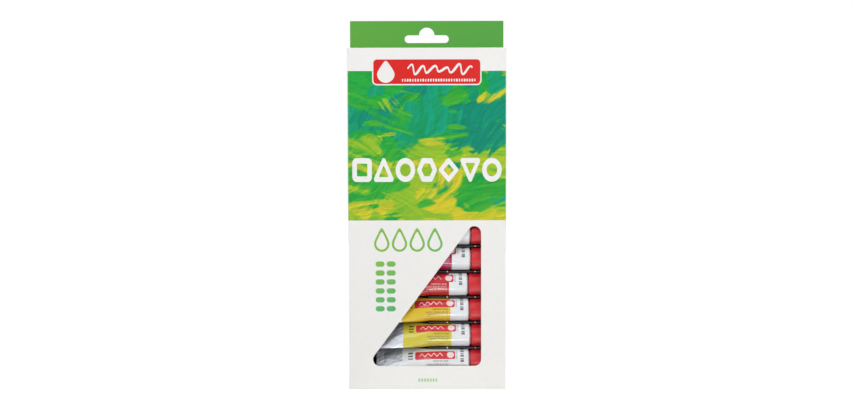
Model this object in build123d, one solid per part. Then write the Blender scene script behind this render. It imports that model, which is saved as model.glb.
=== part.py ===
from build123d import *
from math import asin, cos, degrees, pi, radians, sin
import os

# Hanging window carton that holds twelve gouache tubes in a formed tray.
# Millimetres. +Z is up, the front panel faces -Y and the tube caps point to +X.
# The origin is under the middle of the carton, on the surface it stands on.

# Board and folds
BOARD = 0.45
FLAP_EASE = 0.25            # how much narrower a closing flap is than the carton, each side
LAYER_GAP = 0.05            # air between the lid and what folds or lies under it

# Tubes: twelve in one column, caps to the right
TUBE_RADIUS = 8.0
TUBE_WALL = 0.25
TUBE_LENGTH = 66.4          # tail end to shoulder edge
TAPER_LENGTH = 34.0
TAPER_HOLLOW = 0.84         # part of the taper's length that is hollow
TAPER_SECTIONS = 5
FOLD_LENGTH = 5.0
FOLD_THICKNESS = 1.0
TAIL_BACK_GAP = 0.44        # from the flat tail's rear edge to the pocket floor, at mid thickness
SHOULDER_RISE = 2.8
SHOULDER_EDGE = 0.35
NECK_RADIUS = 4.2
NECK_LENGTH = 8.6
THREAD_RIDGE = 0.25
THREAD_PITCH = 1.8
THREAD_RIDGES = 3
NOZZLE_RADIUS = 2.4
PAINT_EASE = 0.1
# How far each tube has slipped towards its tail, one for each tube from the top down
TUBE_SLIP = (0.4, 0.9, 0.1, 0.6, 1.1, 0.3, 0.0, -0.2, 1.8, 0.9, 0.0, 0.65)

# Screw caps
CAP_INSET = 0.2             # cap radius under tube radius
CAP_LENGTH = 15.0
CAP_GAP = 1.5               # shoulder edge to cap rim
CAP_RIM = 1.5               # wall at the open end
CAP_EDGE = 0.5
CAP_RUNNING_GAP = 0.08      # radial, between neck thread and cap bore
CAP_CONE_GAP = 0.25         # start of the cap's bore to the foot of the shoulder cone
CAP_SEAL_GAP = 0.1          # nozzle to the end of the cap's bore

# Formed tray: a flange round one long pocket, with ribs between the tubes
TRAY_SHEET = 0.5
TRAY_EASE = 0.5             # flange edge to side panel
TRAY_FRONT_GAP = 0.3        # flange to front panel
TRAY_TOP_GAP = 0.8
TUBE_FRONT_GAP = 1.15       # tubes to front panel
FOOT_HEIGHT = 1.45          # pocket floor's back to back panel
FOOT_OFFSET = 22.0          # foot strips from the middle of the carton
FOOT_WIDTH = 9.0
LEFT_FLANGE = 15.3
RIGHT_FLANGE = 7.1
BOTTOM_FLANGE = 7.25
TOP_FLANGE = 9.15
TAIL_ROOM = 3.8             # pocket wall to the tail of a tube that has not slipped
CAP_ROOM = 1.5              # pocket wall to the cap of a tube that has not slipped
TAIL_END_GAP = 0.46         # pocket's upper and lower walls to the outer tails
POCKET_CORNER = 3.0
RIB_THICKNESS = 1.9
RIB_GAP = 0.25              # rib to tube
RIB_RISE = 1.4              # rib crest in front of the tube axes
RIB_OVERRUN = 2.0           # how far the ribs reach past the round part of the tubes
NUB_RADIUS = 1.1
NUB_OFFSETS = (-15.8, 4.4)  # nubs on each rib, from the tube shoulders

# Triangular window: an upright right edge, a level bottom edge and a slope
WINDOW_SIDE_MARGIN = 17.85
WINDOW_BOTTOM = 17.0
WINDOW_WIDTH = 81.3         # to the sharp corner, before rounding
WINDOW_HEIGHT = 110.1       # to the sharp corner, before rounding
WINDOW_CORNER = 4.8

# Lid with its tucked-in tongue, and the two dust flaps under the lid
TONGUE_LENGTH = 9.0
TONGUE_LEAN = 16.0          # degrees that the tucked tongue leans away from the back panel
TONGUE_GAP = 0.8            # from the lid's rear edge to the back panel
TONGUE_EASE = 1.0           # from the tongue's ends to the side panels
TONGUE_CORNER = 4.0
DUST_FLAP_LENGTH = 24.0
DUST_FLAP_FRONT_GAP = 0.35  # front panel to the flap's front edge at the fold
DUST_FLAP_SLANT = 0.46      # cut-back of the flap's front edge per mm of its length
DUST_FLAP_REAR_GAP = 1.55   # flap's rear edge to the lid's rear edge
DUST_FLAP_TAPER = 1.0       # how much the rear edge closes in towards the tip
DUST_FLAP_TAPER_LENGTH = 10.0
DUST_FLAP_CORNER = 1.2

# Glued seam inside the back panel, and the glued bottom
SEAM_WIDTH = 14.0
SEAM_TAPER = 6.0
SEAM_TONGUE_GAP = 4.5       # seam flap's upper end to the tongue
SEAM_FOOT_GAP = 13.5        # seam flap's lower end to the floor
BOTTOM_DUST_LENGTH = 38.0
BOTTOM_INNER_SHORTFALL = 2.5

# Hang tab and its hanging slot
TAB_HEIGHT = 21.5
TAB_INSET = 0.5
TAB_CORNER = 0.6
SLOT_LENGTH = 32.0
SLOT_HEIGHT = 5.6
SLOT_ABOVE_LID = 5.6
SLOT_DOME_WIDTH = 11.2
SLOT_DOME_HEIGHT = 5.5

# Tube and tray sizes that follow: the flat tail is turned so that it fits the pocket's depth
TUBE_COUNT = len(TUBE_SLIP)
TUBE_PITCH = 2 * TUBE_RADIUS + RIB_THICKNESS + 2 * RIB_GAP
FLAT_WIDTH = pi * TUBE_RADIUS
TAIL_TURN = asin((TUBE_RADIUS - TAIL_BACK_GAP) / (FLAT_WIDTH / 2))
TAIL_REACH = FLAT_WIDTH / 2 * cos(TAIL_TURN) + FOLD_THICKNESS / 2 * sin(TAIL_TURN)
POCKET_MARGIN = TAIL_REACH + TAIL_END_GAP
POCKET_WIDTH = TAIL_ROOM + TUBE_LENGTH + CAP_GAP + CAP_LENGTH + CAP_ROOM
POCKET_HEIGHT = TUBE_PITCH * (TUBE_COUNT - 1) + 2 * POCKET_MARGIN

# Carton, as large as the tray needs
TRAY_BOTTOM = 3 * BOARD
CARTON_WIDTH = LEFT_FLANGE + POCKET_WIDTH + RIGHT_FLANGE + 2 * (TRAY_EASE + BOARD)
CARTON_DEPTH = TUBE_FRONT_GAP + 2 * TUBE_RADIUS + TRAY_SHEET + FOOT_HEIGHT + 2 * BOARD
TRAY_TOP = TRAY_BOTTOM + BOTTOM_FLANGE + POCKET_HEIGHT + TOP_FLANGE
SIDE_TOP = TRAY_TOP + TRAY_TOP_GAP
LID_UNDERSIDE = SIDE_TOP + BOARD + LAYER_GAP
CARTON_HEIGHT = LID_UNDERSIDE + BOARD

# Places in the carton
FRONT = -CARTON_DEPTH / 2
BACK = CARTON_DEPTH / 2
HALF_WIDTH = CARTON_WIDTH / 2
INNER_FRONT = FRONT + BOARD
INNER_BACK = BACK - BOARD
INNER_HALF_WIDTH = HALF_WIDTH - BOARD
LID_REAR = INNER_BACK - TONGUE_GAP
SIDE_BOTTOM = 2 * BOARD
TRAY_FACE = INNER_FRONT + TRAY_FRONT_GAP
TUBE_Y = INNER_FRONT + TUBE_FRONT_GAP + TUBE_RADIUS
POCKET_FLOOR = TUBE_Y + TUBE_RADIUS
RIB_CREST_Y = TUBE_Y - RIB_RISE
POCKET_BOTTOM = TRAY_BOTTOM + BOTTOM_FLANGE
POCKET_TOP = POCKET_BOTTOM + POCKET_HEIGHT
POCKET_RIGHT = INNER_HALF_WIDTH - TRAY_EASE - RIGHT_FLANGE
POCKET_LEFT = POCKET_RIGHT - POCKET_WIDTH
TUBE_HEIGHTS = [POCKET_TOP - POCKET_MARGIN - TUBE_PITCH * i for i in range(TUBE_COUNT)]
TAIL_X = POCKET_LEFT + TAIL_ROOM
TAPER_END_X = TAIL_X + FOLD_LENGTH
TAPER_START_X = TAPER_END_X + TAPER_LENGTH
SHOULDER_X = TAIL_X + TUBE_LENGTH
NECK_X = SHOULDER_X + SHOULDER_RISE
NECK_END_X = NECK_X + NECK_LENGTH
CAP_X = SHOULDER_X + CAP_GAP
CAP_RADIUS = TUBE_RADIUS - CAP_INSET

# Sketch plane seen from the front: local x is +X, local y is +Z, extrusion goes to the back
UPRIGHT = Plane(origin=(0, 0, 0), x_dir=(1, 0, 0), z_dir=(0, -1, 0))


def block(x_limits, y_limits, z_limits):
    """Box between three pairs of limits."""
    limits = (x_limits, y_limits, z_limits)
    size = [high - low for low, high in limits]
    middle = [(high + low) / 2 for low, high in limits]
    return Pos(*middle) * Box(*size)


def upright_sheet(outline, y_limits):
    """Solid of an outline drawn as seen from the front, between two depths."""
    low, high = y_limits
    return Pos(0, high, 0) * extrude(UPRIGHT * outline, amount=high - low)


def polygon(*points):
    """Flat face with straight edges through the given points."""
    return make_face(Polyline(*points, close=True))


def window_outline():
    """Right triangle with rounded corners, the upright edge on the right."""
    right = HALF_WIDTH - WINDOW_SIDE_MARGIN
    top = WINDOW_BOTTOM + WINDOW_HEIGHT
    corners = polygon((right - WINDOW_WIDTH, WINDOW_BOTTOM), (right, WINDOW_BOTTOM), (right, top))
    return fillet(corners.vertices(), WINDOW_CORNER)


def slot_outline():
    """Hanging slot: a level slot with round ends and a dome in the middle."""
    slot_middle = CARTON_HEIGHT + SLOT_ABOVE_LID + SLOT_HEIGHT / 2
    slot = Pos(0, slot_middle) * SlotOverall(SLOT_LENGTH, SLOT_HEIGHT)
    dome_radius = SLOT_DOME_WIDTH / 2
    dome_middle = slot_middle + SLOT_HEIGHT / 2 + SLOT_DOME_HEIGHT - dome_radius
    dome = Pos(0, dome_middle) * Circle(dome_radius)
    stem_height = dome_middle - slot_middle
    stem = Pos(0, slot_middle + stem_height / 2) * Rectangle(SLOT_DOME_WIDTH, stem_height)
    return slot + stem + dome


def front_panel():
    """Front of the carton with its window."""
    sheet = block((-HALF_WIDTH, HALF_WIDTH), (FRONT, INNER_FRONT), (0, LID_UNDERSIDE))
    return sheet - upright_sheet(window_outline(), (FRONT - BOARD, INNER_FRONT + BOARD))


def back_panel():
    """Back of the carton, carried up past the lid as the hang tab."""
    tab_top = CARTON_HEIGHT + TAB_HEIGHT
    tab_half = HALF_WIDTH - TAB_INSET
    outline = polygon(
        (-HALF_WIDTH, 0),
        (HALF_WIDTH, 0),
        (HALF_WIDTH, CARTON_HEIGHT),
        (tab_half, CARTON_HEIGHT),
        (tab_half, tab_top),
        (-tab_half, tab_top),
        (-tab_half, CARTON_HEIGHT),
        (-HALF_WIDTH, CARTON_HEIGHT),
    )
    top_corners = outline.vertices().group_by(Axis.Y)[-1]
    outline = fillet(top_corners, TAB_CORNER) - slot_outline()
    return upright_sheet(outline, (INNER_BACK, BACK))


def side_panel(side):
    """Left (-1) or right (+1) side of the carton, between the front and the back."""
    across = sorted((side * HALF_WIDTH, side * INNER_HALF_WIDTH))
    return block(across, (INNER_FRONT, INNER_BACK), (SIDE_BOTTOM, SIDE_TOP))


def seam_flap():
    """Glue flap of the left side panel, stuck inside the back panel."""
    left = -INNER_HALF_WIDTH
    low = SEAM_FOOT_GAP
    high = LID_UNDERSIDE - TONGUE_LENGTH - SEAM_TONGUE_GAP
    outline = polygon(
        (left, low),
        (left + SEAM_WIDTH, low + SEAM_TAPER),
        (left + SEAM_WIDTH, high - SEAM_TAPER),
        (left, high),
    )
    return upright_sheet(outline, (INNER_BACK - BOARD, INNER_BACK))


def bottom_outer_flap():
    """Lowest bottom flap, glued over the others."""
    half = HALF_WIDTH - FLAP_EASE
    return block((-half, half), (INNER_FRONT, INNER_BACK), (0, BOARD))


def bottom_inner_flap():
    """Bottom flap folded in from the front panel, under the side panels."""
    half = HALF_WIDTH - FLAP_EASE
    rear = INNER_BACK - BOTTOM_INNER_SHORTFALL
    return block((-half, half), (INNER_FRONT, rear), (BOARD, 2 * BOARD))


def bottom_dust_flap(side):
    """Bottom flap folded in from a side panel, uppermost of the bottom layers."""
    across = sorted((side * INNER_HALF_WIDTH, side * (INNER_HALF_WIDTH - BOTTOM_DUST_LENGTH)))
    deep = (INNER_FRONT + FLAP_EASE, INNER_BACK - FLAP_EASE)
    return block(across, deep, (2 * BOARD, TRAY_BOTTOM))


def lid():
    """Top panel, hinged on the front panel's upper edge."""
    half = HALF_WIDTH - FLAP_EASE
    return block((-half, half), (FRONT, LID_REAR), (LID_UNDERSIDE, CARTON_HEIGHT))


def tongue():
    """Tuck tongue, folded down from the lid's rear edge and leaning to the front."""
    half = INNER_HALF_WIDTH - TONGUE_EASE
    lean = radians(TONGUE_LEAN)
    outline = polygon((-half, -TONGUE_LENGTH), (half, -TONGUE_LENGTH), (half, BOARD), (-half, BOARD))
    tips = outline.vertices().group_by(Axis.Y)[0]
    fold = Plane(
        origin=(0, LID_REAR, LID_UNDERSIDE),
        x_dir=(1, 0, 0),
        z_dir=(0, -cos(lean), sin(lean)),
    )
    sheet = extrude(fold * fillet(tips, TONGUE_CORNER), amount=BOARD)
    above = (LID_UNDERSIDE - LAYER_GAP, CARTON_HEIGHT + BOARD)
    return sheet - block((-half, half), (INNER_FRONT, BACK), above)


def dust_flap(side):
    """Flap folded in from a side panel's top edge, lying under the lid."""
    front = INNER_FRONT + DUST_FLAP_FRONT_GAP
    rear = LID_REAR - DUST_FLAP_REAR_GAP
    outline = polygon(
        (0, front),
        (DUST_FLAP_LENGTH, front + DUST_FLAP_LENGTH * DUST_FLAP_SLANT),
        (DUST_FLAP_LENGTH, rear - DUST_FLAP_TAPER),
        (DUST_FLAP_LENGTH - DUST_FLAP_TAPER_LENGTH, rear),
        (0, rear),
    )
    tip = outline.vertices().group_by(Axis.X)[-1]
    flap = extrude(fillet(tip, DUST_FLAP_CORNER), amount=BOARD)
    if side > 0:
        flap = flap.mirror(Plane.YZ)
    return Pos(side * HALF_WIDTH, 0, SIDE_TOP) * flap


def tray_pan(grow):
    """The tray's pocket, enlarged all round by grow and open at the front."""
    width = POCKET_WIDTH + 2 * grow
    height = POCKET_HEIGHT + 2 * grow
    middle = Pos((POCKET_LEFT + POCKET_RIGHT) / 2, (POCKET_TOP + POCKET_BOTTOM) / 2)
    outline = middle * RectangleRounded(width, height, POCKET_CORNER + grow)
    return upright_sheet(outline, (TRAY_FACE, POCKET_FLOOR + grow))


def tray_foot(side, grow):
    """Strip pressed out of the pocket floor, left (-1) or right (+1), that rests on the back panel."""
    half = FOOT_WIDTH / 2 - TRAY_SHEET + grow
    across = (side * FOOT_OFFSET - half, side * FOOT_OFFSET + half)
    deep = (POCKET_FLOOR - TRAY_SHEET + grow, INNER_BACK - TRAY_SHEET + grow)
    upward = (POCKET_BOTTOM + TUBE_RADIUS - grow, POCKET_TOP - TUBE_RADIUS + grow)
    return block(across, deep, upward)


def tray_rib(z, shrink):
    """Round-topped rib between two tubes, made smaller all round by shrink."""
    radius = RIB_THICKNESS / 2 - shrink
    crest_middle = RIB_CREST_Y + RIB_THICKNESS / 2
    start = TAPER_START_X - RIB_OVERRUN + shrink
    end = POCKET_RIGHT + TRAY_SHEET
    wall = block((start, end), (crest_middle, POCKET_FLOOR + TRAY_SHEET), (z - radius, z + radius))
    crest = Pos((start + end) / 2, crest_middle, z) * Rot(0, 90, 0) * Cylinder(radius, end - start)
    return wall + crest


def tray():
    """Formed sheet tray: flange, one long pocket, ribs between the tubes, nubs and feet."""
    half = INNER_HALF_WIDTH - TRAY_EASE
    flange = block((-half, half), (TRAY_FACE, TRAY_FACE + TRAY_SHEET), (TRAY_BOTTOM, TRAY_TOP))
    body = flange + tray_pan(TRAY_SHEET)
    for side in (-1, 1):
        body += tray_foot(side, TRAY_SHEET)
    body -= tray_pan(0)
    for side in (-1, 1):
        body -= tray_foot(side, 0)
    for upper, lower in zip(TUBE_HEIGHTS, TUBE_HEIGHTS[1:]):
        z = (upper + lower) / 2
        body += tray_rib(z, 0)
        body -= tray_rib(z, TRAY_SHEET)
        for offset in NUB_OFFSETS:
            nub = Pos(SHOULDER_X + offset, RIB_CREST_Y + RIB_THICKNESS / 2, z) * Sphere(NUB_RADIUS)
            body += nub
    return body


def tail_section(fraction, shrink):
    """Cross-section of the tapering tube: round at fraction 0, flat at 1, always the same girth."""
    half_thickness = TUBE_RADIUS + (FOLD_THICKNESS / 2 - TUBE_RADIUS) * fraction
    roundness = half_thickness / TUBE_RADIUS
    flat_gain = pi / 2 - 1
    half_width = TUBE_RADIUS * (pi / 2 - flat_gain * roundness ** (1 / flat_gain))
    x = TAPER_START_X - TAPER_LENGTH * fraction
    across = (0, sin(TAIL_TURN), cos(TAIL_TURN))
    section = Plane(origin=(x, 0, 0), x_dir=across, z_dir=(-1, 0, 0))
    if fraction == 0:
        return section * Circle(half_thickness - shrink)
    return section * Ellipse(half_width - shrink, half_thickness - shrink)


def tapered_tail(shrink, last_fraction):
    """The tube's tapering length, made smaller all round by shrink."""
    step = last_fraction / (TAPER_SECTIONS - 1)
    return loft([tail_section(step * i, shrink) for i in range(TAPER_SECTIONS)])


def turned(*points):
    """Solid turned about the X axis from (x, radius) points; the first and last lie on it."""
    return revolve(polygon(*points), Axis.X)


def thread_ridge(x):
    """One ring of the neck's thread."""
    crest = NECK_RADIUS + THREAD_RIDGE
    foot_half = 2 * THREAD_RIDGE
    crest_half = THREAD_RIDGE / 2
    return turned(
        (x - foot_half, 0),
        (x - foot_half, NECK_RADIUS),
        (x - crest_half, crest),
        (x + crest_half, crest),
        (x + foot_half, NECK_RADIUS),
        (x + foot_half, 0),
    )


def tube():
    """Aluminium tube: round body, flattened tail with a folded end, shoulder, neck and thread."""
    outer = turned(
        (TAPER_START_X, 0),
        (TAPER_START_X, TUBE_RADIUS),
        (SHOULDER_X - SHOULDER_EDGE, TUBE_RADIUS),
        (SHOULDER_X, TUBE_RADIUS - SHOULDER_EDGE),
        (NECK_X, NECK_RADIUS),
        (NECK_END_X, NECK_RADIUS),
        (NECK_END_X, 0),
    )
    for i in range(THREAD_RIDGES):
        outer += thread_ridge(NECK_END_X - THREAD_PITCH * (i + 0.5))
    outer += tapered_tail(0, 1)
    fold = Rot(-degrees(TAIL_TURN), 0, 0) * Box(FOLD_LENGTH, FOLD_THICKNESS, FLAT_WIDTH)
    outer += Pos(TAIL_X + FOLD_LENGTH / 2, 0, 0) * fold
    return outer - tapered_tail(TUBE_WALL, TAPER_HOLLOW) - bore()


def bore():
    """Inside of the round body, the shoulder and the nozzle."""
    radius = TUBE_RADIUS - TUBE_WALL
    return turned(
        (TAPER_START_X, 0),
        (TAPER_START_X, radius),
        (SHOULDER_X - SHOULDER_EDGE, radius),
        (NECK_X - TUBE_WALL, NOZZLE_RADIUS),
        (NECK_END_X, NOZZLE_RADIUS),
        (NECK_END_X, 0),
    )


def paint():
    """Gouache that fills the tube."""
    return bore() + tapered_tail(TUBE_WALL + PAINT_EASE, TAPER_HOLLOW)


def cap():
    """Screw cap: a blind bore for the neck, and a cone at its mouth that clears the shoulder."""
    end = CAP_X + CAP_LENGTH
    bore_radius = NECK_RADIUS + THREAD_RIDGE + CAP_RUNNING_GAP
    bore_end = NECK_END_X + CAP_SEAL_GAP
    return turned(
        (bore_end, 0),
        (bore_end, bore_radius),
        (NECK_X + CAP_CONE_GAP, bore_radius),
        (CAP_X, CAP_RADIUS - CAP_RIM),
        (CAP_X, CAP_RADIUS - CAP_EDGE / 2),
        (CAP_X + CAP_EDGE / 2, CAP_RADIUS),
        (end - CAP_EDGE, CAP_RADIUS),
        (end, CAP_RADIUS - CAP_EDGE),
        (end, 0),
    )


def carton_parts():
    """The carton's panels and flaps by name."""
    return {
        "carton_front_panel": front_panel(),
        "carton_back_panel": back_panel(),
        "carton_left_side": side_panel(-1),
        "carton_right_side": side_panel(1),
        "carton_seam_flap": seam_flap(),
        "bottom_outer_flap": bottom_outer_flap(),
        "bottom_inner_flap": bottom_inner_flap(),
        "bottom_dust_flap_left": bottom_dust_flap(-1),
        "bottom_dust_flap_right": bottom_dust_flap(1),
        "lid": lid(),
        "lid_tongue": tongue(),
        "dust_flap_left": dust_flap(-1),
        "dust_flap_right": dust_flap(1),
        "tray": tray(),
    }


def tube_parts():
    """Twelve tubes with paint and caps, numbered from the top of the column down."""
    parts = {}
    pieces = {"tube": tube(), "paint": paint(), "cap": cap()}
    for i, (height, slip) in enumerate(zip(TUBE_HEIGHTS, TUBE_SLIP), start=1):
        place = Pos(-slip, TUBE_Y, height)
        for name, piece in pieces.items():
            parts[f"{name}_{i:02d}"] = place * piece
    return parts


os.makedirs("parts", exist_ok=True)
for name, part in {**carton_parts(), **tube_parts()}.items():
    export_step(part, f"parts/{name}.step")
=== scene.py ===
import math

import bmesh
import bpy
import numpy as np
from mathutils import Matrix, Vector


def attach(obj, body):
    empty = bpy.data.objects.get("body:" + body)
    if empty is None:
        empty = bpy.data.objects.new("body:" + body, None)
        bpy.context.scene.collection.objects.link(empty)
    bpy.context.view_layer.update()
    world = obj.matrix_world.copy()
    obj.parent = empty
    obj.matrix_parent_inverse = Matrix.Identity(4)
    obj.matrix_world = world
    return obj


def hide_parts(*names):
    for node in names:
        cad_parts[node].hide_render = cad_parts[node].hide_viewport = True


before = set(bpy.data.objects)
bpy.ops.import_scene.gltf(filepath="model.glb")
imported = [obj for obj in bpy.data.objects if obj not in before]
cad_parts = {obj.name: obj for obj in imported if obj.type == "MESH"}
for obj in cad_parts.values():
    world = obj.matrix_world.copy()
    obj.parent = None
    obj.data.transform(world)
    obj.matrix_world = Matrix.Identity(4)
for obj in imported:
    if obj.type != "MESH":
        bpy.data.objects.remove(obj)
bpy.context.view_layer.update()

# Sizes in millimetres, as in the carton and the tubes
HALF_WIDTH = 56.25
HALF_DEPTH = 10.0
FILM = 0.02                 # how far a printed film stands proud on the sides and the back
FILM_ROOT = 0.1             # how deep a printed film reaches into the board
BOARD_X = HALF_WIDTH - FILM
BOARD_FRONT = -HALF_DEPTH + 0.11
BOARD_BACK = HALF_DEPTH - FILM
SIDE_TOP = 242.547
LID_UNDERSIDE = 243.047
LID_TOP = 243.497
TAB_TOP = 264.997
BOARD = 0.45
CREASE = 0.6                # outer radius of a folded edge
SLOT_Z = 251.897            # middle of the level hanging slot
SLOT_RADIUS = 2.8
SLOT_REACH = 13.2           # from its middle to the middles of its round ends
DOME_RADIUS = 5.6
DOME_RISE = 2.7
WINDOW_LEFT = -43.6         # the window's corners before they are rounded
WINDOW_RIGHT = 38.4
WINDOW_LOW = 17.0
WINDOW_PEAK = 126.7
WINDOW_CORNER = 4.8
LID_REAR = 8.75
TONGUE_LENGTH = 9.0
TONGUE_LEAN = math.radians(16)
TUBE_Y = -0.4
TUBE_TOP_Z = 221.7987
TUBE_PITCH = 18.4
TUBE_RADIUS = 8.0
GIRTH = 2 * math.pi * TUBE_RADIUS
TAIL_X = -36.2
FOLD_END_X = -31.2
ROUND_X = 2.8
SHOULDER_X = 30.2
CAP_X = 31.7
CAP_END_X = 46.7
CAP_RADIUS = 7.8
TAIL_TURN = math.radians(40.4)  # lean of the flattened tails
PIP_XS = (14.4, 34.6)       # the tray's pips beside each tube
# For each tube from the top down, how far it has slipped towards its tail and how far its label rolled up
SLIPS = (0.4, 0.9, 0.1, 0.6, 1.1, 0.3, 0.0, -0.2, 1.8, 0.9, 0.0, 0.65)
LABEL_LIFTS = (0.2, -0.2, 0.0, 0.2, -0.1, -0.5, 0.1, 1.8, 0.3, 0.6, 1.5, 0.1)

# The picture's band on the front, from the floor up
ART_LOW = 121.3
ART_HIGH = 227.1

# Limits along Y of the layers of print
INK_Y = (BOARD_FRONT - 0.03, BOARD_FRONT + FILM_ROOT)
DROPS_Y = (BOARD_FRONT - 0.03, BOARD_FRONT - 0.005)
TITLE_Y = (BOARD_FRONT - 0.06, BOARD_FRONT - 0.03)
BORDER_Y = (BOARD_FRONT - 0.05, BOARD_FRONT + FILM_ROOT)
PLATE_Y = (BOARD_FRONT - 0.08, BOARD_FRONT + FILM_ROOT)
MARKS_Y = (BOARD_FRONT - 0.11, BOARD_FRONT - 0.07)
BACK_Y = (BOARD_BACK - FILM_ROOT, HALF_DEPTH)

# The twelve paints, from the top of the column down
PAINTS = (
    ("black", "#1E1C1F"),
    ("umber", "#5B3A29"),
    ("ochre", "#C79A3C"),
    ("dark_green", "#1F7A52"),
    ("leaf_green", "#79B13C"),
    ("sky_blue", "#2E9CCB"),
    ("ultramarine", "#2B3A93"),
    ("magenta", "#AE1A50"),
    ("scarlet", "#C62A2E"),
    ("warm_yellow", "#E6C32C"),
    ("lemon_yellow", "#D9CC46"),
    ("white", "#EAEDF0"),
)

# Turns that lay an upright cylinder along an axis
ALONG_X = (0, math.pi / 2, 0)
ALONG_Y = (math.pi / 2, 0, 0)


# -------- helpers

def mm(*values):
    """Millimetres as a vector in metres."""
    return Vector([v / 1000 for v in values])


def unit(value):
    """A value kept between 0 and 1."""
    return min(max(value, 0), 1)


def srgb(code):
    """Hex code as three values from 0 to 1."""
    return np.array([int(code[i:i + 2], 16) / 255 for i in (1, 3, 5)])


def to_linear(values):
    """sRGB values turned to linear ones."""
    return np.where(values <= 0.04045, values / 12.92, ((values + 0.055) / 1.055) ** 2.4)


def linear(code, share=1.0):
    """sRGB hex code as linear RGBA, dimmed to a share."""
    return (*(share * to_linear(srgb(code))), 1.0)


def clear():
    """Back to object mode, with nothing selected."""
    if bpy.context.mode != "OBJECT":
        bpy.ops.object.mode_set(mode="OBJECT")
    bpy.ops.object.select_all(action="DESELECT")


def only(obj):
    """Makes one object the only one that operators act on."""
    clear()
    obj.select_set(True)
    bpy.context.view_layer.objects.active = obj


def edit(obj):
    """Enters edit mode on one object, with all of it selected."""
    only(obj)
    bpy.ops.object.mode_set(mode="EDIT")
    bpy.ops.mesh.select_all(action="SELECT")


def pick(obj, kind, test):
    """In edit mode, selects the VERT, EDGE or FACE elements that pass a test."""
    bpy.ops.mesh.select_mode(type=kind)
    bpy.ops.mesh.select_all(action="DESELECT")
    mesh = bmesh.from_edit_mesh(obj.data)
    for element in {"VERT": mesh.verts, "EDGE": mesh.edges, "FACE": mesh.faces}[kind]:
        if test(element):
            element.select_set(True)
    mesh.select_flush_mode()
    bmesh.update_edit_mesh(obj.data)


def named(name):
    """Names the object just made, and settles its place into its mesh."""
    obj = bpy.context.object
    obj.name = obj.data.name = name
    bpy.ops.object.transform_apply(location=True, rotation=True, scale=True)
    return obj


def block(name, low, high):
    """Box between two corners, in millimetres."""
    clear()
    bpy.ops.mesh.primitive_cube_add(size=1, location=(mm(*low) + mm(*high)) / 2, scale=mm(*high) - mm(*low))
    return named(name)


def rod(name, middle, radius, length, turn, vertices):
    """Cylinder of a size in millimetres, turned from upright."""
    clear()
    bpy.ops.mesh.primitive_cylinder_add(vertices=vertices, radius=radius / 1000, depth=length / 1000,
                                        location=mm(*middle), rotation=turn)
    return named(name)


def strip(name, columns, rows=1):
    """Flat grid, with each vertex's column and row, that its maker then bends into shape."""
    clear()
    bpy.ops.mesh.primitive_grid_add(x_subdivisions=columns, y_subdivisions=rows, size=1)
    obj = named(name)
    places = [(round((v.co.x + 0.5) * columns), round((v.co.y + 0.5) * rows)) for v in obj.data.vertices]
    return obj, list(zip(obj.data.vertices, places))


def modifier(obj, kind, **settings):
    """Adds a modifier with its settings and applies it."""
    only(obj)
    added = obj.modifiers.new(kind.title(), kind)
    for key, value in settings.items():
        setattr(added, key, value)
    bpy.ops.object.modifier_apply(modifier=added.name)


def rounded(obj, test, radius, segments):
    """Rounds the edges that pass a test, by a radius in millimetres."""
    edit(obj)
    pick(obj, "EDGE", test)
    bpy.ops.mesh.bevel(offset=radius / 1000, segments=segments, affect="EDGES")
    clear()


def smooth(obj, degrees=30):
    """Smooth shading, with sharp edges past an angle."""
    only(obj)
    bpy.ops.object.shade_smooth_by_angle(angle=math.radians(degrees))


def weld(obj):
    """Merges vertices that lie on each other."""
    edit(obj)
    bpy.ops.mesh.remove_doubles(threshold=0.000002)


def outward(obj):
    """Closes a shell's seams and turns its faces outwards."""
    weld(obj)
    bpy.ops.mesh.normals_make_consistent(inside=False)
    clear()


def join(name, pieces):
    """Joins objects into one."""
    only(pieces[0])
    for piece in pieces[1:]:
        piece.select_set(True)
    if len(pieces) > 1:
        bpy.ops.object.join()
    return named(name)


def paint_with(obj, *materials):
    """Gives an object its materials in order."""
    obj.data.materials.clear()
    for material in materials:
        obj.data.materials.append(material)


def printed(name, pieces, *inks):
    """Films of print joined into one piece, in one ink or in the inks that they have."""
    obj = join(name, pieces)
    smooth(obj)
    if inks:
        paint_with(obj, *inks)
    return obj


def hand_over(obj, body, slot, *nodes):
    """The piece rides on its body and stands for its nodes, which are hidden; the slot is not used."""
    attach(obj, body)
    for node in nodes:
        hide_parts(node)


# -------- materials

def feed(tree, socket, value):
    """Links an output to a socket, or sets the socket to a value; a hex code is turned to linear."""
    if isinstance(value, bpy.types.NodeSocket):
        tree.links.new(value, socket)
    else:
        socket.default_value = linear(value) if isinstance(value, str) else value


def add(tree, kind, inputs=(), out=0, **settings):
    """Adds a node with its settings, feeds its inputs in order or by key, and gives one output."""
    node = tree.nodes.new("ShaderNode" + kind)
    for key, value in settings.items():
        setattr(node, key, value)
    for key, value in inputs.items() if isinstance(inputs, dict) else enumerate(inputs):
        feed(tree, node.inputs[key], value)
    return node.outputs[out]


def new_material(name):
    """Material with a Principled shader; gives it, its tree and its object coordinates."""
    material = bpy.data.materials.new(name)
    material.use_nodes = True
    tree = material.node_tree
    return material, tree, add(tree, "TexCoord", out="Object")


def finished(material, relief=None, **sockets):
    """Feeds the shader's sockets, each named with _ for a space, and gives the material back. A pattern
    with two values runs from one to the other. Relief is a height, its depth in metres and its strength."""
    tree = material.node_tree
    if relief:
        height, depth, strength = relief
        sockets["Normal"] = add(tree, "Bump", {"Height": height, "Distance": depth, "Strength": strength})
    for key, value in sockets.items():
        if isinstance(value, tuple):
            pattern, low, high = value
            value = add(tree, "MapRange", (pattern, 0, 1, low, high))
        feed(tree, tree.nodes["Principled BSDF"].inputs[key.replace("_", " ")], value)
    return material


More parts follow.
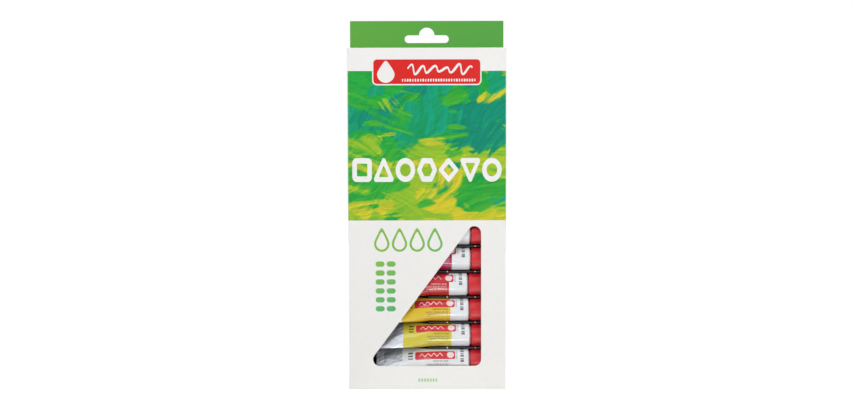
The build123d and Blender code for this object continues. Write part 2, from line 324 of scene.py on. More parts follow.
def clouds(tree, where, size_mm, detail=2.0, stretch=(1, 1, 1)):
    """Pattern from 0 to 1 with features of about a size in millimetres."""
    placed = add(tree, "Mapping", {"Vector": where, "Scale": [1000 / size_mm / s for s in stretch]})
    return add(tree, "TexNoise", {"Vector": placed, "Scale": 1.0, "Detail": detail})


def askew_clouds(tree, place, size, slant, detail):
    """The same drawn out to a length and a width, and turned by a slant; place is in millimetres."""
    placed = add(tree, "Mapping", {"Vector": place, "Scale": (*size, 1), "Rotation": (0, 0, slant)},
                 vector_type="TEXTURE")
    return add(tree, "TexNoise", {"Vector": placed, "Scale": 1.0, "Detail": detail})


def coats(tree, base, *layers):
    """A base colour with others laid over it in turn. A layer is its share, or shares that multiply,
    and then its colour."""
    for share, *others, colour in layers:
        for other in others:
            share = add(tree, "Math", (share, other), operation="MULTIPLY")
        base = add(tree, "Mix", {0: share, 6: base, 7: colour}, 2, data_type="RGBA")
    return base


def coated_board():
    """Folding boxboard, clay coated and varnished: near white, satin, faintly mottled like litho print.
    The hang tab is printed green on both faces, with painted shade darkening it just above the crease at its
    foot."""
    material, tree, where = new_material("clay_coated_folding_boxboard")
    mottle = clouds(tree, where, 3.0, 3.0)
    fibre = clouds(tree, where, 0.35, 2.0, (1, 1, 3))
    across, up = (add(tree, "SeparateXYZ", (where,), axis) for axis in "XZ")
    white = coats(tree, "#F0EFED", (mottle, "#EBEAE8"))
    rightward = add(tree, "MapRange", (across, -0.055, 0.055))
    blotches = add(tree, "MapRange", (mottle, 0, 1, 0, 0.25))
    green = coats(tree, "#58A334", (rightward, "#4C9E3A"), (blotches, "#4B9639"))
    # Painted shade: the tab's green is darkened over the lowest 3 mm above the crease, fading out upwards
    clear_of_crease_shade = add(tree, "MapRange", (up, (LID_TOP + 0.1) / 1000, (LID_TOP + 3.1) / 1000))
    green = coats(tree, green, (0.38, "#2C6A20"), (clear_of_crease_shade, green))
    on_tab = add(tree, "Math", (up, (LID_TOP + 0.03) / 1000), operation="GREATER_THAN")
    return finished(material, Base_Color=coats(tree, white, (on_tab, green)), IOR=1.5,
                    Roughness=(mottle, 0.36, 0.46), relief=(fibre, 0.000006, 0.5))


def raw_board():
    """The same board's uncoated inside: dull, creamy white, with short wood fibres."""
    material, tree, where = new_material("uncoated_board_reverse")
    fibre = clouds(tree, where, 0.6, 4.0, (1, 1, 5))
    flecks = add(tree, "MapRange", (fibre, 0.63, 0.73))
    colour = coats(tree, "#DEDAD0", (clouds(tree, where, 6.0), "#D6D1C6"), (flecks, "#BFB7A6"))
    return finished(material, Base_Color=colour, Roughness=0.85, IOR=1.45, relief=(fibre, 0.00002, 0.7))


def cut_board():
    """Die-cut board edge: bare paper fibre between the coated faces."""
    material, tree, where = new_material("die_cut_board_edge")
    fibre = clouds(tree, where, 0.25, 3.0)
    return finished(material, Base_Color=coats(tree, "#EDE9E1", (fibre, "#D8D2C6")), Roughness=0.9, IOR=1.45,
                    relief=(fibre, 0.00003, 0.6))


def printed_paint():
    """Litho print of thick paint under the same satin varnish, paler in patches along the front's folded
    edges; the picture is in the colour attribute."""
    material, tree, where = new_material("varnished_litho_print")
    picture = add(tree, "Attribute", attribute_name="paint")
    grain = clouds(tree, where, 0.5, 3.0)
    tone = coats(tree, "#101010", (grain, "#F0F0E0"))
    mottled = add(tree, "Mix", {0: 0.06, 6: picture, 7: tone}, 2, data_type="RGBA", blend_type="OVERLAY")
    across, back = (add(tree, "SeparateXYZ", (where,), axis) for axis in "XY")
    sideways = add(tree, "Math", (across,), operation="ABSOLUTE")
    outer = add(tree, "MapRange", (sideways, 0.0556, 0.0559))
    in_front = add(tree, "Math", (back, (BOARD_FRONT + 0.4) / 1000), operation="LESS_THAN")
    # Paler patches in a thin strip along the front's folded edges
    fold_paling = add(tree, "MapRange", (clouds(tree, where, 1.2, 3.0), 0, 1, 0.2, 0.8))
    fibre = clouds(tree, where, 0.35)
    return finished(material, Base_Color=coats(tree, mottled, (outer, in_front, fold_paling, "#D3DDC9")), IOR=1.33,
                    Roughness=(grain, 0.34, 0.42), relief=(fibre, 0.000005, 0.4))


def flat_ink(name, first, second, heading=(0, 0, 1), low=0.0, high=0.2):
    """Flat litho ink, satin under varnish, running from one colour to another along a heading."""
    material, tree, where = new_material(name)
    along = add(tree, "VectorMath", (where, heading), "Value", operation="DOT_PRODUCT")
    grain = clouds(tree, where, 0.6)
    speckle = add(tree, "MapRange", (grain, 0, 1, -0.06, 0.06))
    share = add(tree, "Math", (add(tree, "MapRange", (along, low, high)), speckle), operation="ADD")
    return finished(material, Base_Color=coats(tree, first, (share, second)), IOR=1.33,
                    Roughness=(grain, 0.34, 0.44))


def formed_tray():
    """Black polystyrene sheet, vacuum formed: mirror gloss, with slow waves left by the forming, and a
    painted highlight: a white dot on the front of each pip's crown, where a lamp's glint would show."""
    material, tree, where = new_material("vacuum_formed_black_polystyrene")
    waves = clouds(tree, where, 9.0, 2.0, (2, 1, 1))
    scuffs = clouds(tree, where, 0.8, 4.0)
    across, back, up = (add(tree, "SeparateXYZ", (where,), axis) for axis in "XYZ")
    # Down from the middle of the nearest gap between two tubes
    half = TUBE_PITCH / 2000
    down = add(tree, "Math", (TUBE_TOP_Z / 1000 - half, up), operation="SUBTRACT")
    aside = add(tree, "Math", (down, half, -half), operation="WRAP")
    spot = add(tree, "CombineXYZ", (across, aside))
    raised = add(tree, "Math", (back, -0.00181), operation="LESS_THAN")
    # Painted highlights: a white dot on each pip, where it stands in front of the rib's crest
    painted_glints = []
    for x in PIP_XS:
        distance = add(tree, "VectorMath", (spot, mm(x, 0, 0)), "Value", operation="DISTANCE")
        painted_glints.append((add(tree, "Math", (distance, 0.0005), operation="LESS_THAN"), raised, "#E4E2E4"))
    return finished(material, Base_Color=coats(tree, "#26232A", (scuffs, "#332F38"), *painted_glints), IOR=1.5,
                    Roughness=(scuffs, 0.10, 0.22), relief=(waves, 0.00015, 0.6))


def moulded_cap():
    """Injection moulded polypropylene, coloured through: glossy red with a faint flow pattern."""
    material, tree, where = new_material("moulded_red_polypropylene")
    flow = clouds(tree, where, 4.0, 3.0, (3, 1, 1))
    fine = clouds(tree, where, 0.5, 2.0, (6, 1, 1))
    return finished(material, Base_Color=coats(tree, "#D4252E", (flow, "#CA1F29")), IOR=1.49,
                    Roughness=(flow, 0.28, 0.38), relief=(fine, 0.000008, 0.3))


def gouache(name, code):
    """Gouache paste: matt, dense pigment, with a fine grain."""
    material, tree, where = new_material("gouache_paste_" + name)
    grain = clouds(tree, where, 0.4, 3.0)
    colour = coats(tree, code, (grain, linear(code, 0.8)))
    return finished(material, Base_Color=colour, Roughness=0.7, IOR=1.45, relief=(grain, 0.00003, 0.5))


def patch(tree, place, middle, size, radius):
    """1 inside a rounded rectangle and 0 outside it; place, middle and size are in millimetres."""
    inner = (size[0] / 2 - radius, size[1] / 2 - radius, 0)
    past = place
    for operation, value in (("SUBTRACT", (*middle, 0)), ("ABSOLUTE", (0, 0, 0)),
                             ("SUBTRACT", inner), ("MAXIMUM", (0, 0, 0))):
        past = add(tree, "VectorMath", (past, value), operation=operation)
    distance = add(tree, "VectorMath", (past,), "Value", operation="LENGTH")
    return add(tree, "Math", (distance, radius), operation="LESS_THAN")


def dashes(tree, along, pitch, share, seed):
    """Row of small bars of uneven length along an axis, as fine print seen from afar."""
    cell = add(tree, "Math", (along, pitch), operation="DIVIDE")
    number = add(tree, "Math", (add(tree, "Math", (cell,), operation="FLOOR"), seed), operation="ADD")
    chance = add(tree, "TexWhiteNoise", {"W": number}, noise_dimensions="1D")
    length = add(tree, "MapRange", (chance, 0, 1, share - 0.25, share + 0.25))
    return add(tree, "Math", (add(tree, "Math", (cell,), operation="FRACT"), length), operation="LESS_THAN")


def printed_tube(name, code):
    """Aluminium foil tube, lacquered and printed: bare metal at the tail, then a colour band and a
    white band, both glossy enamel. The pattern follows the tube by its own map: along it in
    decimetres, and round it in turns."""
    material, tree, where = new_material("lacquered_aluminium_tube_" + name)
    chart = add(tree, "UVMap", uv_map="round")
    chart = add(tree, "VectorMath", (chart, (100, GIRTH, 0)), operation="MULTIPLY")
    along, around = (add(tree, "SeparateXYZ", (chart,), axis) for axis in "XY")
    up = add(tree, "Math", (around, GIRTH / 2, -GIRTH / 2), operation="WRAP")
    place = add(tree, "CombineXYZ", (along, up))
    # Fine rolling streaks and broad dents, both drawn out askew to the tube
    streaks = askew_clouds(tree, place, (9.0, 1.4), 0.42, 2.5)
    dents = askew_clouds(tree, place, (8.5, 4.0), 0.3, 1.0)
    metal = coats(tree, "#A8AFB9", (add(tree, "MapRange", (streaks, 0.25, 0.75)), "#EBEEF2"))
    # The print runs from the tail's metal to the shoulder, and is white past the colour band
    start, change, end = -17.4, 17.4, 30.05
    covered = add(tree, "Math", (along, (start + end) / 2, (end - start) / 2), operation="COMPARE")
    band = coats(tree, code, (clouds(tree, where, 5.0), linear(code, 0.88)))
    layers = [(covered, band), (add(tree, "Math", (along, change), operation="GREATER_THAN"), "#E6E9EC")]
    # Small print on the colour band: three rows of uneven bars below the plate, each from its left end
    pale_print = name in ("black", "ultramarine", "umber", "scarlet", "magenta", "dark_green")
    right = 15.6
    for row, (height, left) in enumerate(((0.75, 4.3), (-1.35, -0.2), (-3.05, 1.3))):
        line = patch(tree, place, ((left + right) / 2, height), (right - left, 1.25), 0.3)
        bars = dashes(tree, along, 0.95, 0.62, 7.0 * row)
        layers.append((line, bars, 0.55, "#E8C9C9" if pale_print else "#3A3A40"))
    # Rows of bars that run round the tube: a bold one and a faint one on the white, one on the colour
    for x, width, height, length, ink, pitch, strength in (
            (25.6, 2.4, 6.6, 13.4, "#4C4E58", 1.9, 0.85),
            (21.6, 1.1, 5.4, 5.9, "#7D8088", 0.8, 0.6),
            (-11.5, 3.5, 6.0, 6.8, "#2F3036", 2.3, 0.85)):
        line = patch(tree, place, (x, height), (width, length), 0.2)
        layers.append((line, dashes(tree, up, pitch, 0.66, x), strength, ink))
    # Red plate with a white wave and a pale spot
    turns = add(tree, "Math", (add(tree, "Math", (along, 1.45), operation="MULTIPLY"),), operation="SINE")
    level = add(tree, "Math", (turns, -1.1, up), operation="MULTIPLY_ADD")
    wave = add(tree, "Math", (level, 5.5, 0.42), operation="COMPARE")
    layers += [(patch(tree, place, (6.2, 5.4), (28.8, 6.5), 1.4), "#CF3540"),
               (wave, patch(tree, place, (3.4, 5.5), (16.5, 5.0), 0.3), "#F2DADA"),
               (patch(tree, place, (17.2, 5.4), (5.0, 5.0), 2.49), "#EAD9DA")]
    rolled = add(tree, "MapRange", (streaks, 0, 1, 0.42, 0.58))
    folds = add(tree, "Math", (dents, 1.1), operation="MULTIPLY")
    folds = add(tree, "Math", (streaks, 0.32, folds), operation="MULTIPLY_ADD")
    depth = add(tree, "MapRange", (covered, 0, 1, 0.9, 0.06))
    # The wash lacquer over the bare metal scatters a fifth of the light
    return finished(material, Base_Color=coats(tree, metal, *layers),
                    Metallic=(covered, 0.8, 0.0),
                    Roughness=add(tree, "Mix", {0: covered, 2: rolled, 3: 0.14}),
                    relief=(folds, 0.001, depth))


# -------- the painted picture

def sampled(grid, r, c, eased=False):
    """Values of a grid at fractional rows and columns, straight or eased from one cell to the next."""
    r0, c0 = r.astype(int), c.astype(int)
    fr, fc = r - r0, c - c0
    if eased:
        fr, fc = fr * fr * (3 - 2 * fr), fc * fc * (3 - 2 * fc)
    if grid.ndim == 3:
        fr, fc = fr[:, None], fc[:, None]
    top = grid[r0, c0] * (1 - fc) + grid[r0, c0 + 1] * fc
    low = grid[r0 + 1, c0] * (1 - fc) + grid[r0 + 1, c0 + 1] * fc
    return top * (1 - fr) + low * fr


def cloudy(shape, seed, step):
    """Smooth random field from 0 to 1, with a random value every so many rows and columns."""
    rows, columns = shape
    knots = np.random.default_rng(seed).random((int(rows / step[0]) + 3, int(columns / step[1]) + 3))
    return sampled(knots, np.arange(rows)[:, None] / step[0], np.arange(columns)[None, :] / step[1], True)


def layered(shape, seed, step, layers):
    """Sum of ever finer and fainter random fields."""
    total = 0
    for i in range(layers):
        total = total + cloudy(shape, seed + i, (step[0] / 2 ** i, step[1] / 2 ** i)) / 2 ** i
    return total / (2 - 0.5 ** (layers - 1))


def smeared(field, flow, reach):
    """The field dragged both ways along the flow, as bristles drag paint; reach is in cells."""
    rows, columns = np.indices(field.shape).astype(float)
    last_row, last_column = field.shape[0] - 1, field.shape[1] - 1
    stride = 2
    across, along = stride * np.sin(flow), stride * np.cos(flow)
    total = field.copy()
    for sign in (-1, 1):
        r, c = rows.copy(), columns.copy()
        i, j = rows.astype(int), columns.astype(int)
        for _ in range(reach // stride):
            r += sign * across[i, j]
            c += sign * along[i, j]
            i = np.clip(r, 0, last_row).astype(int)
            j = np.clip(c, 0, last_column).astype(int)
            total += field[i, j]
    return total / (2 * (reach // stride) + 1)


def evened(field):
    """The field stretched to fill 0 to 1 evenly."""
    order = np.argsort(np.argsort(field.ravel()))
    return (order / order.size).reshape(field.shape)


CANVAS_CELL = 0.3
CANVAS_LEFT = -78.0

# Coats of paint from the ground up: two inks, size of the patches in cells, share covered,
# direction in degrees, and how far the coat keeps to the top and to the right
COATS = (
    ("#12A04C", "#079A6E", 100, 1.0, 20, 0.0, 0.0),
    ("#00917B", "#14A560", 110, 0.55, 35, 0.5, 0.5),
    ("#12A23F", "#35B04A", 90, 0.46, -20, 0.1, -0.6),
    ("#8FBF34", "#B9CB34", 95, 0.36, 12, -0.7, 0.1),
    ("#009D82", "#00876F", 80, 0.26, 60, 0.7, 0.6),
    ("#0E9F43", "#5DB53B", 66, 0.26, 25, 0.1, -0.2),
    ("#BFC830", "#DDCB38", 64, 0.17, 30, -0.5, 0.35),
    ("#7FBA36", "#A8C736", 56, 0.22, -12, -0.6, -0.1),
    ("#0C9A63", "#12A98C", 44, 0.13, 48, 0.6, 0.2),
    ("#12A444", "#62B83C", 40, 0.12, 8, -0.1, -0.3),
    ("#D3C633", "#C2CC38", 34, 0.06, 18, -0.4, 0.1),
)


def painted_picture():
    """Picture of loose gouache strokes in greens and yellows, as sRGB values on a grid."""
    rows = int((ART_HIGH - ART_LOW) / CANVAS_CELL) + 2
    columns = int(-2 * CANVAS_LEFT / CANVAS_CELL) + 2
    shape = (rows, columns)
    upward = np.linspace(-1, 1, rows)[:, None] * np.ones(shape)
    rightward = np.linspace(-1, 1, columns)[None, :] * np.ones(shape)
    canvas = np.ones((rows, columns, 3))
    height = np.zeros(shape)
    for number, (first, second, size, share, lean, up, side) in enumerate(COATS):
        seed = 300 + 40 * number
        flow = math.radians(lean) + 2.4 * (layered(shape, seed, (120, 160), 2) - 0.5)
        place = smeared(layered(shape, seed + 5, (size, size * 1.6), 4), flow, 14)
        place = evened(place) + 0.30 * (up * upward + side * rightward)
        grain = evened(smeared(np.random.default_rng(seed + 9).random(shape), flow, 30))
        bristle = evened(smeared(cloudy(shape, seed + 11, (6, 6)), flow, 40))
        place += 0.09 * (bristle - 0.5) + 0.04 * (grain - 0.5)
        depth = place - np.quantile(place, 1 - share) if share < 1 else np.ones(shape)
        thick = np.clip(depth / 0.14, 0, 1)
        cover = np.clip(depth / 0.022 + 0.5, 0, 1)
        cover *= np.clip(0.55 + 0.45 * thick + 0.5 * (bristle - 0.4), 0, 1)
        mix = np.clip(0.5 + 0.62 * (bristle - 0.5) + 0.22 * (grain - 0.5), 0, 1)[..., None]
        paint = srgb(first) * (1 - mix) + srgb(second) * mix
        canvas = canvas * (1 - cover[..., None]) + paint * cover[..., None]
        rim = np.exp(-((depth - 0.014) / 0.014) ** 2)
        own = 0.22 * grain + 0.42 * bristle + 0.8 * rim + 0.8 * thick
        height = height * (1 - cover) + (height * 0.4 + own) * cover
    # Light falls on the ridges from above and from the left, and glints on the steepest
    slope = np.gradient(height, axis=0) * 0.9 - np.gradient(height, axis=1) * 0.55
    canvas = canvas * (1 + 0.5 * np.clip(slope, -0.5, 0.5)[..., None])
    glint = 1.4 * np.clip(slope - 0.42, 0, 1)[..., None]
    return np.clip(canvas ** 1.12 * (1 - glint) + glint, 0, 1)


def colour_from_picture(obj, picture, places):
    """Stores the picture's colour at each vertex, whose place on the flat sheet is in millimetres."""
    x, z = np.array(places).T
    c = np.clip((x - CANVAS_LEFT) / CANVAS_CELL, 0, picture.shape[1] - 1.001)
    r = np.clip((z - ART_LOW) / CANVAS_CELL, 0, picture.shape[0] - 1.001)
    colours = to_linear(sampled(picture, r, c))
    layer = obj.data.color_attributes.new("paint", "FLOAT_COLOR", "POINT")
    layer.data.foreach_set("color", np.insert(colours, 3, 1, axis=1).astype(np.float32).ravel())


# -------- the carton

def round_cutter(name, radius, middles, y_limits):
    """Bar through the board along Y, its outline drawn tight round circles at middles."""
    y, length = sum(y_limits) / 2, y_limits[1] - y_limits[0]
    obj = join(name, [rod(name, (x, y, z), radius, length, ALONG_Y, 64) for x, z in middles])
    edit(obj)
    bpy.ops.mesh.convex_hull()
    clear()
    return obj


def window_cutter():
    """Three-cornered bar with rounded corners, the upright side on the right."""
    radius = WINDOW_CORNER
    slope = math.atan2(WINDOW_PEAK - WINDOW_LOW, WINDOW_RIGHT - WINDOW_LEFT)
    peak = (math.pi / 2 - slope) / 2
    middles = (
        (WINDOW_RIGHT - radius, WINDOW_LOW + radius),
        (WINDOW_RIGHT - radius, WINDOW_PEAK - radius / math.tan(peak)),
        (WINDOW_LEFT + radius / math.tan(slope / 2), WINDOW_LOW + radius),
    )
    return round_cutter("window_cutter", radius, middles, (-14, -6))


def cut(obj, *cutters):
    """Takes shapes out of a piece."""
    for cutter in cutters:
        modifier(obj, "BOOLEAN", operation="DIFFERENCE", object=cutter, solver="EXACT")
        bpy.data.objects.remove(cutter)


def carton_sleeve(outside, inside, edge):
    """The folded blank: front with its window, sides, and the back carried up as the hang tab. The tab's
    slot is level with round ends, and has a dome in its middle."""
    obj = block("carton_sleeve", (-BOARD_X, BOARD_FRONT, 0), (BOARD_X, BOARD_BACK, SIDE_TOP))
    edit(obj)
    pick(obj, "FACE", lambda f: abs(f.normal.z) > 0.9)
    bpy.ops.mesh.delete(type="ONLY_FACE")
    pick(obj, "EDGE", lambda e: abs(e.verts[0].co.z - e.verts[1].co.z) > 0.1)
    bpy.ops.mesh.bevel(offset=CREASE / 1000, segments=5, affect="EDGES")
    top = (SIDE_TOP - 0.1) / 1000
    for y, height in ((BOARD_FRONT, LID_UNDERSIDE), (BOARD_BACK, TAB_TOP)):
        pick(obj, "EDGE", lambda e: all(v.co.z > top and abs(v.co.y - y / 1000) < 0.00001 for v in e.verts))
        bpy.ops.mesh.extrude_region_move(TRANSFORM_OT_translate={"value": mm(0, 0, height - SIDE_TOP)})
    pick(obj, "VERT", lambda v: v.co.z * 1000 > TAB_TOP - 0.1)
    bpy.ops.mesh.bevel(offset=0.0006, segments=4, affect="VERTICES")
    for z in (*range(20, 240, 20), LID_TOP):
        bpy.ops.mesh.select_all(action="SELECT")
        bpy.ops.mesh.bisect(plane_co=mm(0, 0, z), plane_no=(0, 0, 1))
    outward(obj)
    paint_with(obj, outside, inside, edge)
    modifier(obj, "SOLIDIFY", thickness=BOARD / 1000, offset=-1, use_even_offset=True,
             material_offset=1, material_offset_rim=2)
    through = (8, 12)
    cut(obj, window_cutter(),
        round_cutter("slot", SLOT_RADIUS, ((-SLOT_REACH, SLOT_Z), (SLOT_REACH, SLOT_Z)), through),
        round_cutter("dome", DOME_RADIUS, ((0, SLOT_Z + DOME_RISE),), through))
    # The cut rims show bare fibre, and the tab is coated on both faces
    for face in obj.data.polygons:
        x, y, z = face.center * 1000
        rim = abs(face.normal.y) < 0.5
        in_window = y < BOARD_FRONT + BOARD and abs(x) < 50 and 16 < z < 128
        in_tab = y > BOARD_BACK - BOARD and z > LID_TOP
        if rim and (in_window or in_tab):
            face.material_index = 2
        elif z > LID_TOP and not rim:
            face.material_index = 0
    smooth(obj)
    return obj


def picture_front(picture, ink):
    """The print on the front: a thin film, its outer face divided finely enough to carry the strokes."""
    half = BOARD_X - CREASE
    y_limits = (BOARD_FRONT - FILM, BOARD_FRONT + FILM_ROOT)
    obj = block("picture_front", (-half, y_limits[0], ART_LOW), (half, y_limits[1], ART_HIGH))
    edit(obj)
    for cuts in (100, 2):
        pick(obj, "FACE", lambda f: f.normal.y < -0.9)
        bpy.ops.mesh.subdivide(number_cuts=cuts, smoothness=0)
    clear()
    colour_from_picture(obj, picture, [(v.co * 1000).xz for v in obj.data.vertices])
    paint_with(obj, ink)
    return obj


def picture_side(side, picture, ink):
    """The print carried round the folded edge onto a side panel."""
    across, up, in_fold = 30, 152, 6
    obj, grid = strip("picture_left" if side < 0 else "picture_right", across, up)
    radius = CREASE + FILM
    centre = BOARD_X - CREASE
    arc = radius * math.pi / 2
    flat = BOARD_BACK - BOARD_FRONT - 2 * CREASE
    places = []
    for vertex, (column, row) in grid:
        run = arc * column / in_fold
        if column > in_fold:
            run = arc + flat * (column - in_fold) / (across - in_fold)
        z = ART_LOW + row / up * (ART_HIGH - ART_LOW)
        turn = min(run, arc) / radius
        x = centre + radius * math.sin(turn)
        y = BOARD_FRONT + CREASE - radius * math.cos(turn) + max(run - arc, 0)
        vertex.co = mm(side * x, y, z)
        places.append((side * (centre + run), z))
    colour_from_picture(obj, picture, places)
    modifier(obj, "SOLIDIFY", thickness=0.0001, offset=-1 if side > 0 else 1)
    outward(obj)
    smooth(obj, 40)
    paint_with(obj, ink)
    return obj


def plate(name, x_limits, z_limits, radius, y_limits):
    """Flat rounded rectangle."""
    obj = block(name, *zip(x_limits, y_limits, z_limits))
    rounded(obj, lambda e: abs(e.verts[0].co.y - e.verts[1].co.y) > 0.00001, radius, 8)
    return obj


def band_between(name, edges, y_limits):
    """Flat band between two lines of as many points; it is a ring where they end as they start."""
    obj, grid = strip(name, len(edges[0]) - 1)
    for vertex, (i, edge) in grid:
        x, z = edges[edge][i]
        vertex.co = mm(x, sum(y_limits) / 2, z)
    weld(obj)
    modifier(obj, "SOLIDIFY", thickness=(y_limits[1] - y_limits[0]) / 1000, offset=0)
    outward(obj)
    return obj


def regular_loop(corners, turn, rounding, apothem, count=96):
    """Points round a regular outline with rounded corners; apothem is from its middle to its sides."""
    points = []
    per_corner = max(count // corners, 2)
    reach = (apothem - rounding) / math.cos(math.pi / corners)
    for k in range(corners):
        heading = turn + 2 * math.pi * k / corners
        for i in range(per_corner):
            angle = heading + 2 * math.pi / corners * (i / (per_corner - 1) - 0.5)
            points.append((reach * math.cos(heading) + rounding * math.cos(angle),
                           reach * math.sin(heading) + rounding * math.sin(angle)))
    return np.array(points + points[:1])


def title_row(ink):
    """Row of seven bold white outlines where a title would stand."""
    # Corners, turn, rounding of the outer corners and width of the band, over the outer apothem
    square = (4, math.pi / 4, 0.42, 0.47)
    triangle = (3, math.pi / 2, 0.30, 0.56)
    ring = (48, 0, 1.0, 0.46)
    hexagon = (6, 0, 0.30, 0.47)
    diamond = (4, 0, 0.24, 0.52)
    pointing_down = (3, -math.pi / 2, 0.30, 0.56)
    left, pitch, width, foot, height = -53.0, 15.35, 13.9, 148.7, 16.9
    pieces = []
    for i, shape in enumerate((square, triangle, ring, hexagon, diamond, pointing_down, ring)):
        corners, turn, rounding, band = shape
        inner = regular_loop(corners, turn, max(rounding - band, 0.08), 1 - band)
        outer = regular_loop(corners, turn, rounding, 1)
        low, size = outer.min(axis=0), np.ptp(outer, axis=0)
        loops = [(left + i * pitch, foot) + (loop - low) / size * (width, height) for loop in (inner, outer)]
        pieces.append(band_between(f"outline_{i}", loops, TITLE_Y))
    return printed("title_row", pieces, ink)


def name_plate(white_ink, red_ink):
    """Red plate with a white border, and a drop, a plain brush wave and dashes where words would stand."""
    border = plate("plate_border", (-38.7, 38.7), (217.0, 236.1), 3.4, BORDER_Y)
    red = plate("plate_red", (-37.8, 37.8), (217.9, 235.2), 2.6, PLATE_Y)
    # Brush wave: a line that swings, and a band that swells to both sides of it
    t = np.linspace(0, 1, 161)
    rise = np.sin(t * 34.0) + 0.25 * np.sin(t * 17.0 + 1)
    points = np.array((-13.8 + 45.6 * t + 0.8 * rise, 228.2 + rise * (2.4 + 0.9 * np.sin(9 * t)))).T
    widths = 0.9 + 0.8 * abs(np.cos(t * 17.0)) * (1 - abs(2 * t - 1) ** 6)
    ends = np.concatenate((points[:1], points, points[-1:]))
    run = ends[2:] - ends[:-2]
    swell = (run[:, ::-1] * (-1, 1)).T * widths / 2 / np.hypot(*run.T)
    marks = [band_between("wave", (points - swell.T, points + swell.T), MARKS_Y)]
    dice = np.random.default_rng(3)
    for i in range(29):
        x, half = -17.2 + i * 1.83, dice.uniform(0.36, 0.66)
        marks.append(plate(f"dash_{i}", (x - half, x + half), (219.6, 221.5), 0.3, MARKS_Y))
    # Drop: a round foot drawn out to a tip
    x, z, radius = -29.0, 225.0, 6.2
    drop = rod("drop", (x, sum(MARKS_Y) / 2, z), radius, MARKS_Y[1] - MARKS_Y[0], ALONG_Y, 48)
    for vertex in drop.data.vertices:
        rise = (vertex.co.z * 1000 - z) / radius
        if rise > 0:
            vertex.co.z += rise ** 2 * 0.003
            vertex.co.x = (vertex.co.x - x / 1000) * (1 - 0.5 * rise ** 1.5) + x / 1000
    return (printed("plate_border", [border], white_ink), printed("plate_red", [red], red_ink),
            printed("plate_marks", [*marks, drop], white_ink))


def droplets(ink):
    """Four outlined drops in a row, where a volume would stand."""
    pieces = []
    for i in range(4):
        loops = []
        for shrink in (1.55, 0.0):
            turn = np.linspace(0, 2 * math.pi, 65)
            tip = np.maximum(0, np.sin(turn)) ** 4
            x = (5.45 - shrink) * np.cos(turn) * (1 - 0.25 * tip)
            z = (5.65 - shrink) * np.sin(turn) + (5.6 - 0.8 * shrink) * tip
            loops.append(np.array((x - 32.3 + i * 12.6, z + 104.6)).T)
        pieces.append(band_between(f"drop_{i}", loops, DROPS_Y))
    return printed("outlined_drops", pieces, ink)


def tube_count_marks(ink):
    """Twelve bold bars in two columns, one for each tube."""
    pieces = []
    for column in range(2):
        for row in range(6):
            x, z = -33.6 + column * 7.9, 58.2 + row * 6.4
            pieces.append(plate(f"bar_{column}_{row}", (x - 3.2, x + 3.2), (z - 1.9, z + 1.9), 1.85, INK_Y))
    return printed("tube_count_marks", pieces, ink)


def foot_marks(ink):
    """Small row of pale marks above the foot."""
    pieces = []
    for i in range(7):
        x = i * 2.05 - 6.5
        pieces.append(plate(f"foot_mark_{i}", (x, x + 1.3), (5.7, 8.0), 0.35, INK_Y))
    return printed("foot_marks", pieces, ink)


def film_bar(name, middle, size):
    """Round-ended printed bar on the back."""
    (x, z), (wide, tall) = middle, np.divide(size, 2)
    return plate(name, (x - wide, x + wide), (z - tall, z + tall), min(tall * 0.9, 2.2), BACK_Y)


def back_print(inks, text_ink, band_ink):
    """Back of the carton: a rimmed swatch of each paint over two small bars, lines of bars and a band."""
    swatches, bars = [], []
    dice = np.random.default_rng(12)
    y = sum(BACK_Y) / 2
    for i, ink in enumerate(inks):
        x, z = 36.0 - 24.0 * (i % 4), 205.0 - 27.0 * (i // 4)
        swatches.append(rod(f"swatch_{i}", (x, y, z), 8.5, FILM + FILM_ROOT, ALONG_Y, 48))
        paint_with(swatches[-1], ink)
        bars.append(rod(f"swatch_rim_{i}", (x, y - 0.008, z), 8.8, FILM + FILM_ROOT, ALONG_Y, 48))
        for row, half in enumerate(dice.uniform(4.5, 8.0, 2)):
            bars.append(film_bar(f"swatch_bar_{i}_{row}", (x, z - 11.4 - 2.6 * row), (2 * half, 1.1)))
    for column in (-1, 1):
        for line in range(11):
            reach = dice.uniform(36, 44) if line % 4 != 3 else dice.uniform(15, 28)
            middle = (column * 25.0 + (44 - reach) / 2, 118.0 - 4.2 * line)
            bars.append(film_bar(f"line_{column}_{line}", middle, (reach, 1.4)))
    band = film_bar("back_band", (0, 34.0), (101.0, 16.0))
    return (printed("back_swatches", swatches), printed("back_bars", bars, text_ink),
            printed("back_band", [band], band_ink))


def side_dots(side, inks):
    """Column of twelve dots in the colours of the paints, low on a side panel."""
    pieces = []
    for i, ink in enumerate(inks):
        middle = (side * (HALF_WIDTH - (FILM + FILM_ROOT) / 2), 0, 110.0 - 7.6 * i)
        pieces.append(rod(f"side_dot_{i}", middle, 2.6, FILM + FILM_ROOT, ALONG_X, 32))
        paint_with(pieces[-1], ink)
    return printed("side_dots_left" if side < 0 else "side_dots_right", pieces)


def lid_panel(outside, inside, edge):
    """Top panel of the blank, its front and rear edges rounded by their creases."""
    half = HALF_WIDTH - 0.25
    obj = block("lid_panel", (-half, BOARD_FRONT, LID_UNDERSIDE), (half, LID_REAR, LID_TOP))
    top = (LID_TOP - 0.1) / 1000
    rounded(obj, lambda e: min(v.co.z for v in e.verts) > top and e.calc_length() > 0.05, 0.4, 4)
    paint_with(obj, outside, inside, edge)
    for face in obj.data.polygons:
        face.material_index = 1 if face.normal.z < -0.9 else 2 if abs(face.normal.x) > 0.9 else 0
    smooth(obj, 50)
    return obj


